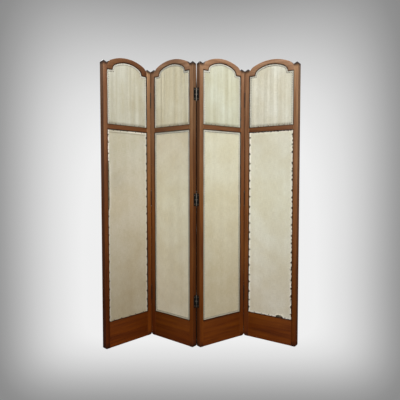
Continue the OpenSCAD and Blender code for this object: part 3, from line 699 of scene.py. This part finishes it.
def mottled_metal(name, mottling, colours, metallic, shine, pits=None):
    """A metal mottled by a noise of the scale, detail and roughness in mottling.

    Its colour follows the noise, and so does its roughness, between the two values in shine. The noise also
    makes bumps where pits gives their strength and depth."""
    metal = new_material(name)
    mottle = add(metal, "TexNoise", {
        "Vector": add(metal, "TexCoord").outputs["Object"],
        "Scale": mottling[0], "Detail": mottling[1], "Roughness": mottling[2]})
    finish = {
        "Base Color": add(metal, "ValToRGB", {0: mottle}, stops=colours),
        "Metallic": metallic,
        "Roughness": add(metal, "MapRange", {
            "Value": mottle, "From Min": 0.3, "From Max": colours[-1][0],
            "To Min": shine[0], "To Max": shine[1]})}
    if pits:
        finish["Normal"] = add(metal, "Bump", {"Height": mottle, "Strength": pits[0], "Distance": pits[1]})
    add(metal, "OutputMaterial", {"Surface": add(metal, "BsdfPrincipled", finish)})
    return metal


iron = mottled_metal(
    "blued_cut_iron", (900, 4, 0.7), [(0.35, "#1d1a18"), (0.6, "#2c2622"), (0.8, "#4a3020")],
    metallic=0.6, shine=(0.38, 0.75), pits=(0.3, 0.0001))
side_row_reach = 0.008
driven_deeper = 0.0024
for number, place in enumerate(panel_places, start=1):
    tacks = eased_copy(f"panel_{number}_tacks", f"panel_{number}_cut_tacks", 0.0001)
    to_panel = place.inverted()
    for vertex in tacks.data.vertices:
        spot = to_panel @ vertex.co
        if spot.z > mid_rail_top and opening_left + side_row_reach < spot.x < opening_right - side_row_reach:
            spot.y += driven_deeper
            vertex.co = place @ spot
    tacks.data.materials.clear()
    tacks.data.materials.append(iron)
    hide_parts(f"panel_{number}_tacks")
    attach(tacks, f"panel_{number}")

# Edging tape
# Woven gimp 11 mm wide: two raised cords with a flat web between them, scalloped where its stitches draw it
# in. It is glued over the tacks along the edges of every upper cloth and of the two middle lower cloths.
tape_width = 0.011
tape_repeat = 0.0105
tape_base = 0.0037
tape_thickness = 0.0003
cord_height = 0.0012


def tape_path(name, points):
    """A flat curve through points, for the tape to follow."""
    curve = bpy.data.curves.new(name, "CURVE")
    curve.dimensions = "2D"
    spline = curve.splines.new("POLY")
    spline.points.add(len(points) - 1)
    for spot, (x, y) in zip(spline.points, points):
        spot.co = (x, y, 0, 1)
    path = bpy.data.objects.new(name, curve)
    bpy.context.scene.collection.objects.link(path)
    return path


def corner(points, radius=0.0062):
    """A line through points with each of its corners rounded."""
    eased = [points[0]]
    for before, here, after in zip(points, points[1:], points[2:]):
        a, b, c = Vector(before), Vector(here), Vector(after)
        back, ahead = (a - b), (c - b)
        turn = back.angle(ahead)
        if math.pi - turn < 0.35:
            eased.append(here)
            continue
        cut_back = min(radius / math.tan(turn / 2), 0.45 * back.length, 0.45 * ahead.length)
        start, end = b + back.normalized() * cut_back, b + ahead.normalized() * cut_back
        for step in range(9):
            t = step / 8
            eased.append(tuple((1 - t) ** 2 * start + 2 * t * (1 - t) * b + t * t * end))
    return eased + [points[-1]]


bpy.ops.mesh.primitive_grid_add(x_subdivisions=8, y_subdivisions=10, size=1)
tape_bit = bpy.context.object
tape_bit.name = "gimp_repeat"
for vertex in tape_bit.data.vertices:
    along, across = vertex.co.x + 0.5, vertex.co.y * 2
    cord = math.exp(-((abs(across) - 0.72) / 0.2) ** 2) * (0.8 + 0.2 * math.cos(2 * math.tau * along))
    web = 0.25 + 0.08 * math.cos(4 * math.tau * along)
    rim = 1 - 0.17 * abs(across) * (0.5 - 0.5 * math.cos(math.tau * along)) ** 2
    lift = max(cord, web) * (1 - max(0, abs(across) - 0.8) / 0.2 * 0.8) * cord_height
    vertex.co = (along * tape_repeat, across * rim * tape_width / 2, lift)
tape_bit.select_set(False)

# Faded cotton gimp. A dark dot at each scallop is soil in the stitch and painted shade of the notch there.
braid = new_material("faded_cotton_gimp")
in_repeat = add(braid, "Attribute", attribute_name="UVMap").outputs["Vector"]
fray = add(braid, "TexNoise", {
    "Vector": add(braid, "TexCoord").outputs["Object"], "Scale": 220, "Detail": 4, "Roughness": 0.6})
soil = add(braid, "TexNoise", {
    "Vector": add(braid, "TexCoord").outputs["Object"], "Scale": 14, "Detail": 3})
braid_colour = add(braid, "Mix", {
    "Factor": add(braid, "MapRange", {
        "Value": soil, "From Min": 0.4, "From Max": 0.65}),
    6: linear("#c4c1b3"), 7: linear("#b2ae9f")}, data_type="RGBA")
braid_foot = add(braid, "Mix", {
    "Factor": add(braid, "MapRange", {
        "Value": add(braid, "SeparateXYZ", {
            0: add(braid, "TexCoord").outputs["Object"]}).outputs["Z"],
        "From Min": 1.3, "From Max": 0.2, "To Max": 0.85}),
    6: braid_colour, 7: linear("#b5ab92")}, data_type="RGBA")
braid_threads = add(braid, "Mix", {
    "Factor": add(braid, "MapRange", {
        "Value": fray, "From Min": 0.45, "From Max": 0.7, "To Max": 0.35}),
    6: braid_foot, 7: linear("#8a8373")}, data_type="RGBA")
# The dark dot at each scallop: soil in the stitch, and painted shade of the notch.
stitch = add(braid, "VectorMath", {0: add(braid, "Mapping", {
    "Vector": in_repeat, "Location": (-0.5, -0.16, 0)})}, operation="LENGTH")
stitch_soil_and_shade = add(braid, "Mix", {
    "Factor": add(braid, "MapRange", {
        "Value": stitch, "From Min": 0.19, "From Max": 0.33, "To Min": 0.95, "To Max": 0.0}),
    6: braid_threads, 7: linear("#43362a")}, data_type="RGBA")
braid_shader = add(braid, "BsdfPrincipled", {
    "Base Color": stitch_soil_and_shade, "Roughness": 0.8, "Sheen Weight": 0.15,
    "Normal": add(braid, "Bump", {
        "Height": fray, "Strength": 0.6, "Distance": 0.0004})})
add(braid, "OutputMaterial", {"Surface": braid_shader})


def lay_tape(name, points, number):
    """Runs the tape along points on a panel's opening, given as distances along and up."""
    path = tape_path(f"{name}_line", points)
    tape = bpy.data.objects.new(name, tape_bit.data.copy())
    bpy.context.scene.collection.objects.link(tape)
    tape.select_set(True)
    bpy.context.view_layer.objects.active = tape
    rows = tape.modifiers.new("repeats", "ARRAY")
    rows.fit_type = "FIT_CURVE"
    rows.curve = path
    rows.use_merge_vertices = True
    rows.merge_threshold = 0.00005
    bend = tape.modifiers.new("bend", "CURVE")
    bend.object = path
    bpy.ops.object.modifier_apply(modifier="repeats")
    bpy.ops.object.modifier_apply(modifier="bend")
    solid = tape.modifiers.new("thickness", "SOLIDIFY")
    solid.thickness = tape_thickness
    solid.offset = -1
    bpy.ops.object.modifier_apply(modifier="thickness")
    bpy.ops.object.shade_smooth_by_angle(angle=math.radians(60))
    for vertex in tape.data.vertices:
        x, y, z = vertex.co
        vertex.co = (x, tape_base - z, y)
    tape.data.transform(panel_places[number - 1])
    tape.data.materials.clear()
    tape.data.materials.append(braid)
    bpy.data.objects.remove(path)
    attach(tape, f"panel_{number}")
    tape.select_set(False)


inset = tape_width / 2 + 0.0017
left_run, right_run = opening_left + inset, opening_right - inset
haunch_line = [
    (mid_u - (arch_half - haunch) - (haunch - inset) * math.cos(a),
     shoulder_low + (haunch - inset) * math.sin(a))
    for a in [i / 10 * (math.pi / 2 - crown_turn) for i in range(11)]]
crown_line = [
    (mid_u + (crown_radius - inset) * math.sin(a), crown_middle + (crown_radius - inset) * math.cos(a))
    for a in [(-1 + i / 12) * crown_turn for i in range(1, 24)]]
over = haunch_line + crown_line + [(2 * mid_u - x, z) for x, z in reversed(haunch_line)]
upper_run = corner([
    (left_run, mid_rail_top + 0.002), (left_run, shoulder_low - inset),
    (mid_u - arch_half + inset, shoulder_low - inset),
    *over, (mid_u + arch_half - inset, shoulder_low - inset), (right_run, shoulder_low - inset),
    (right_run, mid_rail_top + 0.002)])
lower_run = corner([
    (left_run, bottom_rail_top + inset), (left_run, mid_rail_low - inset), (right_run, mid_rail_low - inset),
    (right_run, bottom_rail_top + inset), (left_run + 0.004, bottom_rail_top + inset)])
for number in range(1, 5):
    lay_tape(f"panel_{number}_upper_gimp", upper_run, number)
for number in (2, 3):
    lay_tape(f"panel_{number}_lower_gimp", lower_run, number)
bpy.data.objects.remove(tape_bit)

# Hinges
# Butt hinges of blackened iron, let into the edges of the stiles. Each turns on a pin with turned steeple
# tips, and is held by countersunk steel screws whose slots are worn bright.
black_iron = mottled_metal(
    "blackened_iron", (160, 6, 0.65), [(0.35, "#1c1b19"), (0.55, "#2e2c28"), (0.75, "#4a4038")],
    metallic=0.75, shine=(0.34, 0.62), pits=(0.25, 0.0002))

# The same iron on the centre fold's knuckles, painted paler grey: partly where the knuckles rub on each other
# and the black is gone, and partly a painted highlight along the barrel. The metal shines dully.
worn_and_highlit_iron = mottled_metal(
    "hinge_iron_worn_and_painted_highlight", (240, 5, 0.6), [(0.35, "#4c4944"), (0.55, "#938c80"), (0.75, "#77706a")],
    metallic=0.9, shine=(0.3, 0.5))
steel = mottled_metal(
    "worn_screw_steel", (500, 5, 0.7), [(0.35, "#8a857c"), (0.6, "#c4beb4"), (0.8, "#94785f")],
    metallic=1.0, shine=(0.28, 0.6))

hinge_heights = (0.286, 0.914, 1.552)
leaf_height = 0.076
pin_tip = 0.009
pin_tip_radius = 0.0041
pin_tip_room = 0.0017
knuckle_reach = 0.0042

hinge_pieces = {}
for first, fold in ((1, "left"), (2, "centre"), (3, "right")):
    for level in ("high", "mid", "low"):
        for side, body in (("left", f"panel_{first}"), ("right", f"panel_{first + 1}")):
            hinge_pieces[f"{fold}_fold_{level}_hinge_{side}_leaf"] = body
for number in (2, 3):
    hinge_pieces[f"panel_{number}_hinge_pins"] = f"panel_{number}"
for node, body in hinge_pieces.items():
    piece = eased_copy(node, f"{node}_eased", 0.0003)
    piece.data.materials.clear()
    piece.data.materials.append(black_iron)
    if node.endswith("hinge_pins"):
        for vertex in piece.data.vertices:
            axis = min(pins.values(), key=lambda pin: (vertex.co - pin).xy.length)
            up = min((abs(vertex.co.z - height) for height in hinge_heights)) - leaf_height / 2
            away = (vertex.co - axis).xy
            if up > 0.0006 and away.length > 0.0003:
                away *= max(away.length, pin_tip_radius * (1 - 0.2 * (up / pin_tip) ** 3)) / away.length
                vertex.co.xy = axis.xy + away
                nearest_height = min(hinge_heights, key=lambda height: abs(vertex.co.z - height))
                vertex.co.z += math.copysign(pin_tip_room * up / pin_tip, vertex.co.z - nearest_height)
    # Only the centre fold's knuckles get the paler iron with its painted highlight.
    if node.startswith("centre_fold"):
        piece.data.materials.append(worn_and_highlit_iron)
        for face in piece.data.polygons:
            if (face.center - pins["centre_fold"]).xy.length < knuckle_reach:
                face.material_index = 1
    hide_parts(node)
    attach(piece, body)
for number in range(1, 5):
    screws = frame["nodes"][f"panel_{number}_hinge_screws"]
    screws.data.materials.clear()
    screws.data.materials.append(steel)

# Camera, backdrop and light
# A plain pale studio: a round floor that curves up into a wall, with a soft key light above the camera, a low
# fill beside it and a soft light behind the screen.
scene = bpy.context.scene
scene.view_settings.view_transform = "Standard"
camera_data = bpy.data.cameras.new("camera")
camera_data.lens = 38.66
camera_data.sensor_width = 36
camera_data.clip_end = 60
camera = bpy.data.objects.new("camera", camera_data)
camera.location = (-0.02426, -2.71997, 1.04168)
camera.rotation_euler = (math.radians(87.179), 0, math.radians(-0.385))
scene.collection.objects.link(camera)
scene.camera = camera

floor_reach = 2.2
cove = 1.2
wall_height = 5.5
profile = [(0, 0), (cove, 0), (floor_reach, 0)]
profile += [
    (floor_reach + cove * math.sin(a), cove - cove * math.cos(a))
    for a in [i / 12 * math.pi / 2 for i in range(1, 13)]]
profile += [(floor_reach + cove, 2 * cove), (floor_reach + cove, wall_height)]
bowl_mesh = bpy.data.meshes.new("studio_bowl")
bowl_mesh.from_pydata(
    [(x, 0, z - 0.0005) for x, z in profile], [(i, i + 1) for i in range(len(profile) - 1)], [])
bowl = bpy.data.objects.new("studio_bowl", bowl_mesh)
scene.collection.objects.link(bowl)
bpy.context.view_layer.objects.active = bowl
bowl.select_set(True)
bpy.ops.object.mode_set(mode="EDIT")
bpy.ops.mesh.select_all(action="SELECT")
bpy.ops.mesh.spin(steps=96, angle=math.tau, center=(0, 0, 0), axis=(0, 0, 1))
bpy.ops.mesh.select_all(action="SELECT")
bpy.ops.mesh.remove_doubles(threshold=0.0001)
bpy.ops.mesh.normals_make_consistent(inside=True)
bpy.ops.object.mode_set(mode="OBJECT")
bpy.ops.object.shade_smooth()
bowl.select_set(False)

# The backdrop glows and no lamp lights it: a painted pool of light on white paper, lightest behind the
# screen, with painted shade growing darker in a soft ring with squarish corners. The pool of light is a
# rounded rectangle that widens towards the back, and it goes on up the wall.
paper = new_material("glowing_backdrop_painted_light")
paper_spot = add(paper, "SeparateXYZ", {0: add(paper, "TexCoord").outputs["Object"]})
falloff = [(0.3, "#efefef"), (0.328, "#eaeaea"), (0.377, "#dedede"), (0.423, "#cccccc"), (0.463, "#b7b7b7"),
           (0.5, "#a2a2a2"), (0.533, "#919191"), (0.55, "#8c8c8c"), (0.6, "#8c8c8c"), (0.8, "#cfcfcf")]
pool_half_width, pool_widening, pool_narrowest = 1.24, 0.456, 0.4
pool_back, pool_depth = 1.113, 1.818
pool_sink, pool_height = 0.97, 4.446
pool_width = add(paper, "Math", {
    0: add(paper, "Math", {0: paper_spot.outputs["Y"], 1: pool_widening}, operation="MULTIPLY"),
    1: pool_half_width}, operation="ADD")
sideways = add(paper, "Math", {
    0: paper_spot.outputs["X"],
    1: add(paper, "Math", {0: pool_width, 1: pool_narrowest}, operation="MAXIMUM")}, operation="DIVIDE")
forwards = add(paper, "Math", {0: add(paper, "Math", {
    0: add(paper, "Math", {0: pool_back, 1: paper_spot.outputs["Y"]}, operation="SUBTRACT"),
    1: pool_depth}, operation="DIVIDE"), 1: 0.0}, operation="MAXIMUM")
upwards = add(paper, "Math", {
    0: add(paper, "Math", {0: paper_spot.outputs["Z"], 1: pool_sink}, operation="ADD"),
    1: pool_height}, operation="DIVIDE")
floor_tone, wall_tone = [
    add(paper, "ValToRGB", {0: add(paper, "Math", {
        0: add(paper, "Math", {
            0: add(paper, "Math", {
                0: add(paper, "Math", {0: add(paper, "Math", {
                    0: sideways}, operation="ABSOLUTE"), 1: squareness}, operation="POWER"),
                1: add(paper, "Math", {0: other, 1: squareness}, operation="POWER")},
                operation="ADD"),
            1: 1 / squareness}, operation="POWER"),
        1: 0.5}, operation="MULTIPLY")}, stops=falloff)
    for other, squareness in ((forwards, 8.0), (upwards, 5.0))]
pool_tone = add(paper, "Mix", {
    "Factor": add(paper, "MapRange", {
        "Value": paper_spot.outputs["Z"], "From Min": 0.05, "From Max": 0.8}),
    6: floor_tone, 7: wall_tone}, data_type="RGBA")
backdrop_glow = add(paper, "Emission", {"Color": pool_tone, "Strength": 1.0})
add(paper, "OutputMaterial", {"Surface": backdrop_glow})
bowl.data.materials.append(paper)
bowl.visible_diffuse = False
bowl.visible_glossy = False
bowl.visible_shadow = False

world = bpy.data.worlds.new("studio")
world.use_nodes = True
sky_height = add(world, "SeparateXYZ", {0: add(world, "TexCoord").outputs["Generated"]})
sky = add(world, "ValToRGB", {0: add(world, "MapRange", {
    "Value": sky_height.outputs["Z"], "From Min": -0.35, "From Max": 0.6})}, stops=[
        (0.0, "#3a3836"), (0.4, "#8b8b8a"), (1.0, "#e4e8ee")])
world.node_tree.links.new(sky.outputs["Color"], world.node_tree.nodes["Background"].inputs["Color"])
world.node_tree.nodes["Background"].inputs["Strength"].default_value = 0.55
scene.world = world

for name, spot, aim, size, power in (
        ("key_softbox", (0.75, -2.5, 4.2), (0, 0, 1.35), 0.9, 205),
        ("fill_softbox", (-1.2, -3.4, 1.7), (0, 0, 1.1), 2.0, 32),
        ("back_softbox", (-1.3, 4.2, 3.0), (0, 0, 0.9), 2.4, 150)):
    lamp_data = bpy.data.lights.new(name, "AREA")
    lamp_data.size = size
    lamp_data.energy = power
    lamp = bpy.data.objects.new(name, lamp_data)
    lamp.location = spot
    lamp.rotation_euler = (Vector(aim) - Vector(spot)).to_track_quat("-Z", "Y").to_euler()
    scene.collection.objects.link(lamp)
